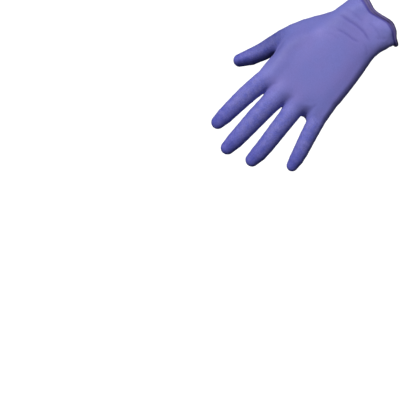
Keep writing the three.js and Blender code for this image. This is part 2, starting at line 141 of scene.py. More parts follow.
def smooth_min(a, b, k):
    h = np.maximum(k - np.abs(a - b), 0) / k
    return np.minimum(a, b) - h * h * k * 0.25


def smooth_step(lo, hi, t):
    s = np.clip((t - lo) / (hi - lo), 0, 1)
    return s * s * (3 - 2 * s)


def unit(v):
    return v / np.maximum(np.linalg.norm(v, axis=-1, keepdims=True), 1e-9)


# ---- the field ---------------------------------------------------------------------------
def bone(p, a, b, flat):
    ra, rb = a[3], b[3]
    scale = np.array([1, 1, 1 / flat])
    ba, pa = (b[:3] - a[:3]) * scale, (p - a[:3]) * scale
    l2 = ba @ ba
    rr = ra - rb
    a2 = l2 - rr * rr
    il2 = 1 / l2
    y = pa @ ba
    z = y - l2
    q = pa * l2 - y[:, None] * ba
    x2 = np.einsum("ij,ij->i", q, q)
    y2, z2 = y * y * l2, z * z * l2
    k = np.sign(rr) * rr * rr * x2
    side = (np.sqrt(x2 * a2 * il2) + y * rr) * il2 - ra
    return np.where(
        np.sign(z) * a2 * z2 > k,
        np.sqrt(x2 + z2) * il2 - rb,
        np.where(np.sign(y) * a2 * y2 < k, np.sqrt(x2 + y2) * il2 - ra, side),
    )


CHAINS = {id(c): smoothed(c[1], BONES if len(c[1]) > 3 else 4) for c in [*FINGERS.values(), THUMB, *PADS]}
FAR = 1e3


def chain(p, finger):
    """A finger's field, worked out only for the points near it."""
    q = CHAINS[id(finger)]
    reach = q[:, 3].max() + 20
    near = ((p > q[:, :3].min(0) - reach) & (p < q[:, :3].max(0) + reach)).all(1)
    out = np.full(len(p), FAR)
    if near.any():
        pn = p[near]
        f = bone(pn, q[0], q[1], finger[0])
        for a, b in zip(q[1:], q[2:]):
            f = smooth_min(f, bone(pn, a, b, finger[0]), BLEND_CHAIN)
        out[near] = f
    return out


def body(p):
    x, y, z = p.T
    ulnar, radial, n = section(1, y), section(2, y), section(5, y)
    fade = np.exp(-np.maximum(y, 0) / RIM_FADE) * np.clip(1.4 - y / 50, 0, 1)
    swell = rim(2, degrees_at(x, z, y)) * fade
    a = (radial - ulnar) / 2 + swell
    b = np.where(z > 0, section(3, y), -section(4, y)) + swell
    u, w = np.abs(x - (radial + ulnar) / 2) / a, np.abs(z) / b
    g = np.maximum((u**n + w**n) ** (1 / n), 1e-3)
    slope = g ** (1 - n) * np.hypot(u ** (n - 1) / a, w ** (n - 1) / b)
    wall = (g - 1) / np.maximum(slope, 1e-3)
    past = y - through(WEB[:, 0], WEB[:, 1], x) + WEB_SLOPE * np.clip(z + 8, -4, 20)
    return -smooth_min(-wall, -past, 10.0)


def field(p):
    palm = body(p)
    for pad in PADS:
        palm = smooth_min(palm, chain(p, pad), BLEND_PADS)
    palm = smooth_min(palm, chain(p, THUMB), BLEND_THUMB)
    out = palm.copy()
    far = p[:, 1] > 88
    if far.any():
        pf = p[far]
        fingers = None
        for f in FINGERS.values():
            g = chain(pf, f)
            fingers = g if fingers is None else smooth_min(fingers, g, BLEND_FINGERS)
        out[far] = smooth_min(fingers, palm[far], BLEND_ROOTS)
    return out


def slope_at(p, here=None):
    here = field(p) if here is None else here
    g = np.empty_like(p)
    for k in range(3):
        q = p.copy()
        q[:, k] += 0.02
        g[:, k] = (field(q) - here) / 0.02
    return g


def draw_on(p, on_rim, steps):
    for _ in range(steps):
        f = field(p)
        g = slope_at(p, f)
        g[on_rim, 1] = 0
        p -= g * np.clip(f / np.maximum((g * g).sum(1), 0.05), -4, 4)[:, None]
    return p


# ---- the cage ----------------------------------------------------------------------------
# y, then the thumb side's corner: x, y, top z, bottom z
ROWS = [(-2, 37.8, -2, 10, -10), (14, 38.6, 14, 9, -10), (34, 40.5, 34, 8, -12), (56, 45.5, 54, 5, -18), (90, 50.5, 112, -4, -18), (118, 46.5, 124, 7, -8)]
COLUMNS = [0, 0.25, 0.5, 0.75, 1]
# x, y, how much sooner the top is, top z, bottom z of the corners that the fingers grow from
ROOTS = [(45.5, 143, 0, 6, -6), (21.8, 157, 6, 8, -8), (-3.8, 153.5, 6, 8, -8), (-30.6, 143, 8, 6, -8), (-47.0, 123, 0, 6, -6)]
FINGER_STATIONS = [0.3, 0.54, 0.78, 1]
THUMB_ROW = 3
THUMB_STATIONS = [0.57, 0.72, 0.86, 1]
CAP_PUSH, CAP_SIDE, SIDE = 0.72, 0.86, 1.07
RELAX = [14, 6, 4, 3]
SEAT = [8, 6, 4, 3]
TIP_STILL, WEB_STILL = 8.0, 5.0


def build_cage():
    verts, faces = [], []

    def add(x, y, z):
        verts.append((x, y, z))
        return len(verts) - 1

    top, bottom = [], []
    for y, ex, ey, et, eb in ROWS:
        t, b = [add(ex, ey, et)], [add(ex, ey, eb)]
        lo, hi, back, palm = (float(section(c, np.array([y]))[0]) for c in (1, 2, 3, 4))
        for i in range(1, 5):
            raise_ = EDGE_RAISE if i == 4 else 1.0
            x = hi + (lo - hi) * COLUMNS[i]
            t.append(add(x, y, back * raise_))
            b.append(add(x, y, palm * raise_))
        top.append(t)
        bottom.append(b)
    top.append([add(x, y - s, t) for x, y, s, t, b in ROOTS])
    bottom.append([add(x, y, b) for x, y, s, t, b in ROOTS])
    for j in range(len(top) - 1):
        for i in range(4):
            faces.append((top[j][i], top[j + 1][i], top[j + 1][i + 1], top[j][i + 1]))
            faces.append((bottom[j][i + 1], bottom[j + 1][i + 1], bottom[j + 1][i], bottom[j][i]))
        if j != THUMB_ROW:
            faces.append((top[j + 1][0], top[j][0], bottom[j][0], bottom[j + 1][0]))
        faces.append((top[j][4], top[j + 1][4], bottom[j + 1][4], bottom[j][4]))

    def tube(root, finger, stations):
        flat, joints = finger
        path = np.array([q[:3] for q in joints], float)
        radii = [q[3] for q in joints]
        lengths = np.linalg.norm(np.diff(path, axis=0), axis=1)
        ring = root
        for k, share in enumerate(stations):
            d, i = share * lengths.sum(), 0
            while i < len(lengths) - 1 and d > lengths[i]:
                d -= lengths[i]
                i += 1
            s = d / lengths[i]
            c = path[i] + (path[i + 1] - path[i]) * s
            last = k == len(stations) - 1
            r = (radii[i] + (radii[i + 1] - radii[i]) * s) * (CAP_SIDE if last else SIDE)
            direction = unit(path[i + 1] - path[i])
            side = unit(np.array([direction[1], -direction[0], 0]))
            up = np.cross(side, direction)
            if last:
                c = c + direction * r * CAP_PUSH / CAP_SIDE
            following = [add(*(c + side * a * r + up * b * r * flat)) for a, b in ((1, 1), (-1, 1), (-1, -1), (1, -1))]
            for m in range(4):
                n = (m + 1) % 4
                faces.append((ring[m], following[m], following[n], ring[n]))
            ring = following
        faces.append((ring[0], ring[3], ring[2], ring[1]))

    last = len(top) - 1
    for i, f in enumerate(FINGERS.values()):
        tube((top[last][i], top[last][i + 1], bottom[last][i + 1], bottom[last][i]), f, FINGER_STATIONS)
    j = THUMB_ROW
    tube((top[j][0], top[j + 1][0], bottom[j + 1][0], bottom[j][0]), THUMB, THUMB_STATIONS)
    return np.array(verts, float), np.array(faces, int)


def edges_of(faces):
    a, b = faces, np.roll(faces, -1, axis=1)
    pairs = np.sort(np.stack([a, b], -1).reshape(-1, 2), axis=1)
    edges, inverse, counts = np.unique(pairs, axis=0, return_inverse=True, return_counts=True)
    return edges, inverse.reshape(faces.shape), counts


def subdivide(verts, faces):
    edges, of_corner, counts = edges_of(faces)
    centres = verts[faces].mean(1)
    n, e = len(verts), len(edges)
    edge_sum = np.zeros((e, 3))
    np.add.at(edge_sum, of_corner.ravel(), np.repeat(centres, 4, axis=0))
    mids = verts[edges].mean(1)
    inside = counts == 2
    edge_points = np.where(inside[:, None], (mids * 2 + edge_sum) / 4, mids)
    f_sum, f_count = np.zeros((n, 3)), np.zeros(n)
    np.add.at(f_sum, faces.ravel(), np.repeat(centres, 4, axis=0))
    np.add.at(f_count, faces.ravel(), 1)
    m_sum, m_count = np.zeros((n, 3)), np.zeros(n)
    for k in (0, 1):
        np.add.at(m_sum, edges[:, k], mids)
        np.add.at(m_count, edges[:, k], 1)
    made = (f_sum / f_count[:, None] + 2 * m_sum / m_count[:, None] + verts * (m_count - 3)[:, None]) / m_count[:, None]
    rim_edges = edges[~inside]
    rim_sum, rim_count = np.zeros((n, 3)), np.zeros(n)
    for k in (0, 1):
        np.add.at(rim_sum, rim_edges[:, k], verts[rim_edges[:, 1 - k]])
        np.add.at(rim_count, rim_edges[:, k], 1)
    on = rim_count == 2
    made[on] = verts[on] * 0.75 + rim_sum[on] * 0.125
    new_verts = np.concatenate([made, edge_points, centres])
    quads = []
    for i in range(4):
        quads.append(np.stack([faces[:, i], n + of_corner[:, i], n + e + np.arange(len(faces)), n + of_corner[:, i - 1]], 1))
    return new_verts, np.stack(quads, 1).reshape(-1, 4)


def rim_loop(faces):
    half = {}
    for a, b in zip(faces.ravel().tolist(), np.roll(faces, -1, axis=1).ravel().tolist()):
        if (b, a) in half:
            del half[(b, a)]
        else:
            half[(a, b)] = True
    following = {a: b for a, b in half}
    start = min(following)
    loop, v = [start], following[start]
    while v != start:
        loop.append(v)
        v = following[v]
    return np.array(loop)


def tips():
    out = []
    for flat, joints in list(FINGERS.values()) + [THUMB]:
        a, b = np.array(joints[-2][:3], float), np.array(joints[-1][:3], float)
        out.append(b + unit(b - a) * joints[-1][3])
    return np.array(out)


def outer_skin():
    verts, faces = build_cage()
    ends = tips()
    webs = np.array([(x, y - s / 2, (t + b) / 2) for x, y, s, t, b in ROOTS[1:-1]])
    for level in range(LEVELS):
        verts, faces = subdivide(verts, faces)
        loop = rim_loop(faces)
        on_rim = np.zeros(len(verts), bool)
        on_rim[loop] = True
        edges, _, _ = edges_of(faces)
        both = on_rim[edges].all(1)
        # a rim vertex is evened out along the rim only
        a = np.concatenate([edges[:, 0], edges[:, 1]])
        b = np.concatenate([edges[:, 1], edges[:, 0]])
        use = ~on_rim[a] | np.concatenate([both, both])
        a, b = a[use], b[use]
        degree = np.bincount(a, minlength=len(verts)).astype(float)
        pins = [int(np.argmin(np.linalg.norm(verts - t, axis=1))) for t in ends]
        # at the fine levels the tips and webs are even enough to be relaxed closer in
        still = 1.0 / 2**level

        def seat(p, steps):
            p[on_rim, 1] = rim(1, degrees_at(p[on_rim, 0], p[on_rim, 2], np.full(on_rim.sum(), 2.0)))
            p[pins] = ends
            return draw_on(p, on_rim, steps)

        verts = seat(verts, SEAT[level])
        for done in range(RELAX[level]):
            mean = np.stack([np.bincount(a, weights=verts[b, k], minlength=len(verts)) for k in range(3)], 1)
            c = mean / degree[:, None] - verts
            n = unit(slope_at(verts))
            c -= n * (c * n).sum(1)[:, None]
            free = np.minimum(
                np.linalg.norm(verts[:, None] - ends[None], axis=2).min(1) / (TIP_STILL * still) - 1,
                np.linalg.norm(verts[:, None] - webs[None], axis=2).min(1) / (WEB_STILL * still) - 1,
            )
            verts = seat(verts + c * (0.5 * np.clip(free, 0, 1))[:, None], 1 if done + 1 < RELAX[level] else 3)
    return verts, faces, loop


# ---- creases and folds ---------------------------------------------------------------------
def lattice(i, j, k, seed):
    h = (i * 374761393 + j * 668265263 + k * 2246822519 + seed * 3266489917) & 0xFFFFFFFF
    h = ((h ^ (h >> 13)) * 1274126177) & 0xFFFFFFFF
    return ((h ^ (h >> 16)) & 0xFFFF) / 32767.5 - 1.0


def noise(p, size, seed=0):
    """Smooth noise from -1 to 1 with features of about this size."""
    q = p / size
    f = np.floor(q).astype(np.int64)
    s = q - f
    s = s * s * (3 - 2 * s)
    out = 0.0
    for di in (0, 1):
        for dj in (0, 1):
            for dk in (0, 1):
                w = (s[:, 0] if di else 1 - s[:, 0]) * (s[:, 1] if dj else 1 - s[:, 1]) * (s[:, 2] if dk else 1 - s[:, 2])
                out = out + w * lattice(f[:, 0] + di, f[:, 1] + dj, f[:, 2] + dk, seed)
    return out


def line_distance(p, points, columns=(0, 1)):
    """Distance in plan from a smooth line through points, and the share along it."""
    q = np.array(points, float)
    at = np.r_[0, np.cumsum(np.linalg.norm(np.diff(q, axis=0), axis=1))]
    t = np.linspace(0, at[-1], 4 * (len(q) - 1) + 1)
    q = np.stack([through(at, q[:, k], t) for k in range(q.shape[1])], 1)
    xy = p[:, list(columns)]
    best, share = np.full(len(p), 1e9), np.zeros(len(p))
    for i in range(len(q) - 1):
        d = q[i + 1] - q[i]
        s = np.clip(((xy - q[i]) @ d) / (d @ d), 0, 1)
        gap = np.linalg.norm(xy - q[i] - s[:, None] * d, axis=1)
        closer = gap < best
        best = np.where(closer, gap, best)
        share = np.where(closer, (i + s) / (len(q) - 1), share)
    return best, share


def groove(gap, width, lip=0.35):
    """A crease's profile, 1 deep on the line, with a low lip along each side."""
    return -np.exp(-((gap / width) ** 2)) + lip * np.exp(-(((gap - 2.3 * width) / (1.1 * width)) ** 2))


def along_finger(p, finger):
    """How far along a finger's own bones a point is, how long they are, and its field."""
    q = CHAINS[id(finger)]
    at = np.r_[0, np.cumsum(np.linalg.norm(np.diff(q[:, :3], axis=0), axis=1))]
    best, far = np.full(len(p), 1e9), np.zeros(len(p))
    for i in range(len(q) - 1):
        d = q[i + 1, :3] - q[i, :3]
        s = ((p - q[i, :3]) @ d) / (d @ d)
        s = np.clip(s, 0 if i else -1, 1 if i < len(q) - 2 else 2)
        gap = np.linalg.norm(p - q[i, :3] - s[:, None] * d, axis=1)
        closer = gap < best
        best = np.where(closer, gap, best)
        far = np.where(closer, at[i] + s * (at[i + 1] - at[i]), far)
    return far, at[-1], chain(p, finger)


# Creases on the back: depth, width, points of x, y. The first two cross the wrist.
BACK_LINES = [
    (0.60, 1.5, [(37, 35.0), (33.2, 33.6), (22.7, 30.6), (10.2, 27.4), (-1.3, 26.2), (-10.7, 26.5), (-17, 28.4)]),
    (0.52, 1.3, [(23, 48.0), (18.7, 45.9), (14, 43.9), (8.3, 42.1), (2, 40.4), (-2.6, 39.0), (-8, 36.8)]),
    (0.22, 1.7, [(36, 24.5), (26, 21.0), (15, 19.6), (6, 17.0)]),
    (0.20, 1.6, [(4, 15.4), (-6, 14.0), (-14, 14.6), (-22, 18.2)]),
    (0.20, 1.5, [(-14, 20.4), (-20, 15.2), (-25, 9.4)]),
    (0.16, 1.5, [(-8, 34.4), (-15, 35.0), (-21, 38.2), (-25, 43.0)]),
    (0.14, 1.8, [(30, 60), (24, 56.0), (16, 53.6), (8, 53.0)]),
    # off the webs
    (0.20, 1.3, [(22.0, 153), (22.6, 147), (21.8, 141), (19.2, 136)]),
    (0.20, 1.3, [(-4.0, 150), (-3.0, 144), (-2.6, 138), (-4.4, 133)]),
    (0.22, 1.4, [(-30.0, 138), (-28.2, 131.5), (-27.2, 125), (-28.6, 119)]),
]
# the cleft where the thumb leaves the palm
CLEFT = [(48.6, 124), (49.2, 117), (49.8, 110), (51.4, 103.5), (54.4, 98)]
# Creases on the palm: under the thumb's pad, across the palm, at the wrist, off the webs.
PALM_LINES = [
    (0.75, 1.9, [(46, 108), (36, 109), (24, 103), (15, 92), (10.6, 78), (10.4, 64), (13, 52)]),
    (0.55, 1.7, [(40, 111), (28, 112.5), (14, 110), (0, 103), (-13, 94), (-22, 86)]),
    (0.60, 1.8, [(26, 128), (14, 122), (0, 119), (-16, 118), (-30, 116), (-42, 112)]),
    (0.55, 1.7, [(34, 36), (20, 33), (4, 32), (-12, 33.4), (-26, 37)]),
    (0.35, 1.6, [(30, 26), (16, 24), (0, 23.4), (-14, 24.6)]),
    (0.25, 1.7, [(2, 90), (-3, 80), (-5, 70), (-4, 60)]),
    (0.24, 1.7, [(-14, 84), (-22, 78), (-30, 76)]),
    (0.30, 1.4, [(22.8, 150), (21.6, 143), (18.2, 136)]),
    (0.30, 1.4, [(-3.2, 149), (-3.6, 142), (-6.4, 135)]),
    (0.30, 1.4, [(-29.4, 137), (-28.4, 130), (-30, 123)]),
    (0.40, 1.6, [(52, 112), (47, 103), (40.5, 93), (36, 80)]),
]
# degrees round the mouth, how far the band behind the bead reaches, the bead's radii
# out of the film and along it
BAND = np.array([
    (0, 3.0, 1.20, 1.60), (30, 3.4, 1.26, 1.75), (55, 3.6, 1.30, 1.90), (74, 2.8, 1.20, 1.75), (90, 1.5, 1.14, 1.60),
    (108, 1.8, 1.22, 1.70), (124, 2.0, 1.18, 1.60), (146, 0.9, 1.12, 1.50), (172, 1.3, 1.20, 1.55), (200, 1.7, 1.26, 1.60),
    (232, 3.4, 1.16, 1.60), (262, 2.6, 1.12, 1.60), (292, 3.2, 1.22, 1.65), (328, 3.0, 1.16, 1.60),
], float)


def detail(p, n):
    """How far the film stands out of the plain form at each point, in millimetres, and
    what its material is told: stall (1 on the fingers), end (1 at their ends), band (1 by
    the bead), fold (1 in a crease, for painted shade), cleft (1 in the groove by the thumb,
    for painted shade), rolled (1 on the thumb, fading to its tip, for painted shade), slack
    (1 at the cuff, most on the little finger's side, for painted light), hem (1 in the crease
    behind the bead, for painted shade) and edge (1 along the palm's edge on the thumb's side,
    where it faces up, for painted shade)."""
    x, y, z = p.T
    out = np.zeros(len(p))
    # the creases are marked below for painted shade: the material darkens the film in them
    crease_shade = np.zeros(len(p))
    up = smooth_step(0.02, 0.5, n[:, 2])
    down = smooth_step(0.02, 0.5, -n[:, 2])
    wander = np.stack([noise(p, 9.0, 11), noise(p, 9.0, 12), np.zeros(len(p))], 1) * 0.8
    q = p + wander
    for side, lines in ((up, BACK_LINES), (down, PALM_LINES)):
        for depth, width, points in lines:
            gap, share = line_distance(q, points)
            ends = smooth_step(0, 0.22, share) * smooth_step(0, 0.22, 1 - share)
            uneven = 0.8 + 0.35 * noise(p, 7.0, 31)
            out += side * ends * uneven * depth * groove(gap, width)
            crease_shade = np.maximum(crease_shade, side * ends * np.exp(-((gap / (0.9 * width)) ** 2)) * min(depth / 0.6, 1))

    # the cleft by the thumb: deep at the web, run out towards the wrist; its mark also gives the material painted shade
    gap, share = line_distance(p, CLEFT)
    ends = smooth_step(0, 0.12, share) * smooth_step(0, 0.45, 1 - share)
    cleft = up * ends * np.exp(-((gap / 2.2) ** 2))
    out -= 0.7 * cleft

    # the fingers: wrinkles across their joints, closer and finer on the back
    stall, end, rolled = np.zeros(len(p)), np.zeros(len(p)), np.zeros(len(p))
    for name, finger in [*FINGERS.items(), ("thumb", THUMB)]:
        far, whole, f = along_finger(p, finger)
        own = smooth_step(3.5, 0.6, f)
        joints = np.array(finger[1], float)
        at = np.r_[0, np.cumsum(np.linalg.norm(np.diff(joints[:, :3], axis=0), axis=1))]
        first = 2 if name == "thumb" else 0
        begin = at[2] if name == "thumb" else 0.0
        blue = (at[1] + 12, at[2] + 14) if name == "thumb" else (2, 0.34 * whole + 4)
        stall = np.maximum(stall, own * smooth_step(*blue, far))
        # the thumb's mark carries painted shade, fading towards its tip
        if name == "thumb":
            rolled = own * smooth_step(*blue, far) * smooth_step(whole + 8, 0.55 * whole, far)
        end = np.maximum(end, own * smooth_step(begin + 0.55 * (whole - begin), whole + 4, far))
        skew = 0.9 * noise(p, 6.0, 41)
        for j in range(first + 1, len(at) - 2):
            for d, deep in ((-4.6, 0.6), (-2.4, 0.9), (-0.2, 1.0), (2.1, 0.85), (4.3, 0.5)):
                out += own * up * 0.10 * deep * groove(np.abs(far - at[j] - d + skew), 0.85)
            for d, deep in ((-1.9, 0.8), (1.5, 1.0)):
                gap = np.abs(far - at[j] - d + skew)
                out += own * down * 0.34 * deep * groove(gap, 1.25)
                crease_shade = np.maximum(crease_shade, 0.5 * own * down * np.exp(-((gap / 1.1) ** 2)))
        if name != "thumb":
            for d, deep in ((21.5, 0.45), (24.5, 0.35)):
                gap = np.abs(far - d + skew)
                out += own * down * deep * groove(gap, 1.5)
                crease_shade = np.maximum(crease_shade, 0.5 * own * down * np.exp(-((gap / 1.2) ** 2)))
        # the stall's end is slack, and puckers
        out += own * smooth_step(whole - 2, whole + 7, far) * 0.16 * noise(p, 3.4, 43)

    # the knuckles' low swellings
    for kx, ky, high in ((33.5, 133, 0.22), (10.5, 139, 0.28), (-12.5, 135, 0.22), (-34.5, 123, 0.18)):
        out += up * high * np.exp(-(((x - kx) / 7.5) ** 2) - ((y - ky) / 8.5) ** 2)
        out -= up * 0.5 * high * np.exp(-(((x - kx) / 6.0) ** 2) - ((y - ky - 13) / 5.0) ** 2)

    # the cuff: slack, with slanting waves, closer towards the rim
    deg = degrees_at(x, z, y)
    t = y - rim(1, deg)
    cuff = smooth_step(50, 8, y)
    turn = np.radians(deg)
    slant = np.stack([x * 0.42 + y * 0.9, x * 0.9 - y * 0.42, z * 0.6], 1)
    out += cuff * 0.34 * noise(slant * np.array([1.0, 0.42, 0.8]), 6.5, 51)
    out += cuff * 0.16 * noise(slant * np.array([1.0, 0.5, 1.0]), 3.1, 52)
    out += smooth_step(34, 2, y) * 0.30 * np.sin(7 * turn + 0.12 * y + 1.3 * noise(p, 16, 53))
    # the band: the film stands up behind the bead, and a crease bounds it
    width = through(BAND[:, 0], BAND[:, 1], deg, 360.0) + 0.35 * noise(p, 5.0, 61)
    mouth = y < 24
    band = mouth * smooth_step(0.9, -0.4, t - width)
    out += mouth * 0.42 * smooth_step(0.5, -1.0, t - width) * smooth_step(-1.2, 1.2, t)
    crease = mouth * np.exp(-(((t - width - 0.4) / 0.95) ** 2))
    out -= (0.95 + 0.2 * noise(p, 6.0, 62)) * crease
    # the crease behind the bead is marked for painted shade as well
    crease_shade = np.maximum(crease_shade, crease)
    # the rim's corner on the little finger's side stands out, with a fold under it
    flare = np.exp(-(((np.mod(deg - 188 + 180, 360) - 180) / 16) ** 2)) * mouth
    out += 1.1 * flare * np.exp(-((t / 3.2) ** 2)) - 0.7 * flare * np.exp(-(((t - 7.0) / 3.0) ** 2))

    # the film is nowhere quite even
    loose = 1 - 0.6 * stall
    out += loose * (0.09 * noise(p, 19.0, 71) + 0.04 * noise(p, 8.0, 72)) + 0.03 * noise(p, 3.6, 73)
    told = {"stall": stall, "end": end, "band": band, "crease_shade": np.clip(crease_shade, 0, 1)}
    # marks for the material: painted shade in the cleft and on the thumb, painted light on the cuff (most on the little
    # finger's side) and painted shade in the crease behind the bead
    told.update({"cleft": cleft, "rolled": rolled, "cuff_painted_light": cuff * (0.15 + 0.85 * smooth_step(10, -22, x)), "band_crease_shade": crease})
    # the palm's edge on the thumb's side, where it faces up, is marked for painted shade that damps the light on it
    inner = 2 + 30 * smooth_step(38, 64, y)
    told["edge"] = up * smooth_step(0, 1, (x - inner) / (44 - inner)) * smooth_step(146, 120, y) * (1 - stall)
    return out, told


def even_back(p, n):
    """How far to move each point of the back so that it lies on a blurred height map of
    the back, with no low places between the knuckles."""
    step, sigma = 1.5, 7.0
    x0, y0, w, h = -66.0, 20.0, 90, 100
    use = (n[:, 2] > 0.3) & (p[:, 2] > 0)
    i = np.round((p[use, 0] - x0) / step).astype(int)
    j = np.round((p[use, 1] - y0) / step).astype(int)
    ok = (i >= 0) & (i < w) & (j >= 0) & (j < h)
    flat = i[ok] * h + j[ok]
    count = np.bincount(flat, minlength=w * h).astype(float).reshape(w, h)
    total = np.bincount(flat, weights=p[use, 2][ok], minlength=w * h).reshape(w, h)
    height = np.where(count > 0, total / np.maximum(count, 1), 0.0)
    known = (count > 0).astype(float)
    r = np.arange(-16, 17) * step
    kernel = np.exp(-0.5 * (r / sigma) ** 2)

    def blur(a):
        a = np.stack([np.convolve(row, kernel, mode="same") for row in a])
        return np.stack([np.convolve(row, kernel, mode="same") for row in a.T]).T

    target = blur(height * known) / np.maximum(blur(known), 1e-6)
    u = np.clip((p[:, 0] - x0) / step, 0, w - 1.001)
    v = np.clip((p[:, 1] - y0) / step, 0, h - 1.001)
    a, b = u.astype(int), v.astype(int)
    s, t = u - a, v - b
    here = (target[a, b] * (1 - s) + target[a + 1, b] * s) * (1 - t) + (target[a, b + 1] * (1 - s) + target[a + 1, b + 1] * s) * t
    gap = here - p[:, 2]
    gap = np.where(gap < 0, gap * smooth_step(38, 12, p[:, 0]), gap)
    share = smooth_step(0.78, 0.97, n[:, 2]) * smooth_step(40, 56, p[:, 1]) * smooth_step(140, 124, p[:, 1]) * (p[:, 2] > 0)
    return share * np.clip(gap, -1.6, 1.6)


def roll_thumb(p):
    """How far each point of the thumb goes down: the thumb is rolled, so that its side
    towards the fingers falls away."""
    q = CHAINS[id(THUMB)]
    best, side, far = np.full(len(p), 1e9), np.zeros(len(p)), np.zeros(len(p))
    at = np.r_[0, np.cumsum(np.linalg.norm(np.diff(q[:, :3], axis=0), axis=1))]
    for i in range(len(q) - 1):
        d = q[i + 1, :3] - q[i, :3]
        s = np.clip(((p - q[i, :3]) @ d) / (d @ d), 0, 1)
        off = p - q[i, :3] - s[:, None] * d
        gap = np.linalg.norm(off, axis=1)
        inward = unit(np.array([-d[1], d[0], 0.0]))
        closer = gap < best
        best = np.where(closer, gap, best)
        side = np.where(closer, (off @ inward) / (q[i, 3] + (q[i + 1, 3] - q[i, 3]) * s), side)
        far = np.where(closer, at[i] + s * (at[i + 1] - at[i]), far)
    own = smooth_step(3.0, 0.4, chain(p, THUMB)) * smooth_step(0.34 * at[-1], 0.62 * at[-1], far)
    return own * 3.2 * np.clip(side + 0.1, 0, 1) ** 1.5


def vertex_normals(verts, faces):
    d1, d2 = verts[faces[:, 2]] - verts[faces[:, 0]], verts[faces[:, 3]] - verts[faces[:, 1]]
    n = np.cross(d1, d2)
    out = np.stack([np.bincount(faces.ravel(), weights=np.repeat(n[:, k], 4), minlength=len(verts)) for k in range(3)], 1)
    return unit(out)


# ---- the film: both skins and the bead -------------------------------------------------------
def film(verts, faces, loop, normals, told):
    n = len(verts)
    points = [verts, verts - normals * WALL]
    masks = {k: [v, v] for k, v in told.items()}
    quads = [faces, faces[:, ::-1] + n]
    deg = degrees_at(verts[loop, 0], verts[loop, 2], np.full(len(loop), 2.0))
    out_r = through(BAND[:, 0], BAND[:, 2], deg, 360.0) + 0.05 * noise(verts[loop], 4.0, 81)
    long_r = through(BAND[:, 0], BAND[:, 3], deg, 360.0) + 0.08 * noise(verts[loop], 5.0, 82)
    reach = long_r * np.sqrt(1 - ((out_r - WALL) / out_r) ** 2)
    start = np.arctan2(-reach / long_r, -(out_r - WALL) / out_r)
    nl = normals[loop]
    down = unit(np.array([0, -1.0, 0]) + nl * nl[:, [1]])
    rings, base, steps, bead_shade = [loop], 2 * n, 16, []
    for s in range(1, steps + 1):
        t = start + (math.pi - start) * s / steps
        ripple = 1 + 0.03 * np.sin(np.radians(deg) * 61 + 2.2 * t) * np.sin(math.pi * s / steps)
        out = out_r - WALL + out_r * np.cos(t) * ripple
        along = reach + long_r * np.sin(t) * ripple
        points.append(verts[loop] + nl * out[:, None] + down * along[:, None])
        for k, v in masks.items():
            v.append(np.full(len(loop), 1.0 if k == "band" else 0.0))
        # the roll's outer half is marked for painted shade
        bead_shade.append(smooth_step(0.1, 0.8, t))
        rings.append(base + np.arange(len(loop)))
        base += len(loop)
    rings.append(loop + n)
    for a, b in zip(rings, rings[1:]):
        a2, b2 = np.roll(a, -1), np.roll(b, -1)
        quads.append(np.stack([a2, a, b, b2], 1))
    masks = {k: np.concatenate(v) for k, v in masks.items()}
    masks["inside"] = np.r_[np.zeros(n), np.ones(n), np.zeros(base - 2 * n)]
    masks["bead"] = np.r_[np.zeros(2 * n), np.concatenate(bead_shade)]
    return np.concatenate(points), np.concatenate(quads), masks


verts, faces, loop = outer_skin()
flat_normals = unit(slope_at(verts))
verts[:, 2] += even_back(verts, flat_normals) - roll_thumb(verts)
flat_normals = vertex_normals(verts, faces)
lift, told = detail(verts, flat_normals)
verts = verts + flat_normals * lift[:, None]
normals = vertex_normals(verts, faces)
points, quads, masks = film(verts, faces, loop, normals, told)
print("film", len(points), len(quads), "lift", float(lift.min()), float(lift.max()))

mesh = bpy.data.meshes.new("glove_film")
mesh.from_pydata((points * MM).tolist(), [], quads.tolist())
mesh.validate()
mesh.shade_smooth()
for key, values in masks.items():
    mesh.attributes.new(key, "FLOAT", "POINT").data.foreach_set("value", values.astype(np.float32))
glove = bpy.data.objects.new("glove_film", mesh)
bpy.context.scene.collection.objects.link(glove)
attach(glove, "root")
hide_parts("glove_membrane")


# ---- material ------------------------------------------------------------------------------
class Nodes:
    """Short names for the nodes of one material."""

    def __init__(self, name):
        self.mat = bpy.data.materials.new(name)
        self.mat.use_nodes = True
        self.tree = self.mat.node_tree
        self.tree.nodes.clear()

    def new(self, kind, **settings):
        node = self.tree.nodes.new(kind)
        for key, value in settings.items():
            setattr(node, key, value)
        return node

    def put(self, value, socket):
        if isinstance(value, bpy.types.NodeSocket):
            self.tree.links.new(value, socket)
        elif isinstance(value, (tuple, list)) and len(value) == 3 and socket.type == "RGBA":
            socket.default_value = (*value, 1)
        else:
            socket.default_value = value

    def math(self, operation, a, b=0.0, clamp=False):
        node = self.new("ShaderNodeMath", operation=operation, use_clamp=clamp)
        self.put(a, node.inputs[0])
        self.put(b, node.inputs[1])
        return node.outputs[0]

    def mix(self, share, a, b, blend="MIX"):
        node = self.new("ShaderNodeMix", data_type="RGBA", blend_type=blend)
        self.put(share, node.inputs[0])
        self.put(a, node.inputs[6])
        self.put(b, node.inputs[7])
        return node.outputs[2]

    def noise(self, vector, scale, detail=2.0, rough=0.5):
        node = self.new("ShaderNodeTexNoise")
        self.put(vector, node.inputs["Vector"])
        node.inputs["Scale"].default_value = scale
        node.inputs["Detail"].default_value = detail
        node.inputs["Roughness"].default_value = rough
        return node.outputs[0]

    def span(self, value, lo, hi, to_lo, to_hi):
        node = self.new("ShaderNodeMapRange")
        self.put(value, node.inputs[0])
        for i, v in enumerate((lo, hi, to_lo, to_hi)):
            node.inputs[i + 1].default_value = v
        return node.outputs[0]

    def told(self, name):
        return self.new("ShaderNodeAttribute", attribute_name=name).outputs["Fac"]


